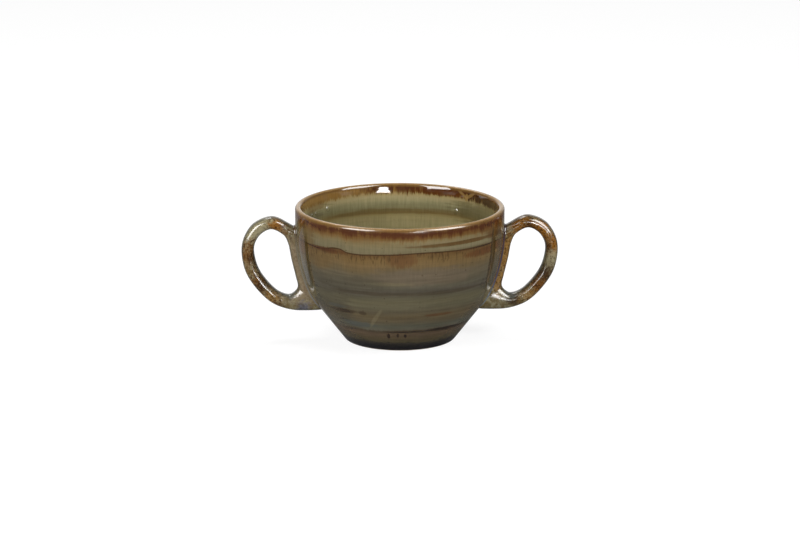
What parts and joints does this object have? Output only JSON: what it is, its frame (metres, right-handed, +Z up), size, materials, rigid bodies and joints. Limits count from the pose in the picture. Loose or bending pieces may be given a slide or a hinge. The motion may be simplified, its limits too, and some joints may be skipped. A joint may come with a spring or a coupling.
{
  "type": "lug soup bowl",
  "caption": "Round stoneware soup bowl on a low foot ring, with a looped lug handle luted to each side, in a streaked reactive glaze.",
  "frame": {"origin": "centre of the foot ring's face, on the table under the bowl's axis", "axes": "+Z up along the bowl's axis, +X through the right-hand handle, -Y towards the viewer of the picture"},
  "size_m": [0.1636, 0.108, 0.07],
  "materials": {
    "bowl_glaze": "gloss reactive glaze, grey-green running to rust brown",
    "handle_glaze": "gloss reactive glaze, rust brown breaking to cream",
    "seam_glaze": "gloss glaze pooled in the corner",
    "bare_clay": "unglazed, ground smooth"
  },
  "bodies": {
    "root": {"bowl_body": "bowl_glaze", "foot_ring": "bare_clay", "left_handle": "handle_glaze", "right_handle": "handle_glaze", "left_handle_seam": "seam_glaze", "right_handle_seam": "seam_glaze"}
  },
  "joints": []
}
